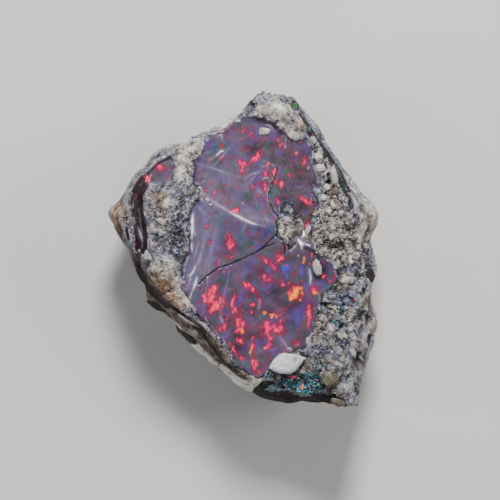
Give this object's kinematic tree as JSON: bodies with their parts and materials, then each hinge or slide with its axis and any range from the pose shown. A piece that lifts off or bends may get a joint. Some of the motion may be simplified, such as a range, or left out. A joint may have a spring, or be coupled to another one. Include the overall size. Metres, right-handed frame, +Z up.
{
  "type": "rough black opal",
  "caption": "Loose piece of rough black opal, crusted with sandstone and clay round a broken glassy face; it lies on its back on a flat.",
  "frame": {"origin": "under the middle of the stone, on the flat that it rests on", "axes": "+Z up out of the glassy face; +Y towards the stone's narrow clay-capped tip; +X to the right of it, seen from above"},
  "size_m": [0.023, 0.027, 0.011],
  "materials": {
    "opal_and_crust": "dark glassy opal with coloured flashes, in dull pale sandstone and clay crust"
  },
  "bodies": {
    "root": {"rough_opal": "opal_and_crust"}
  },
  "joints": []
}
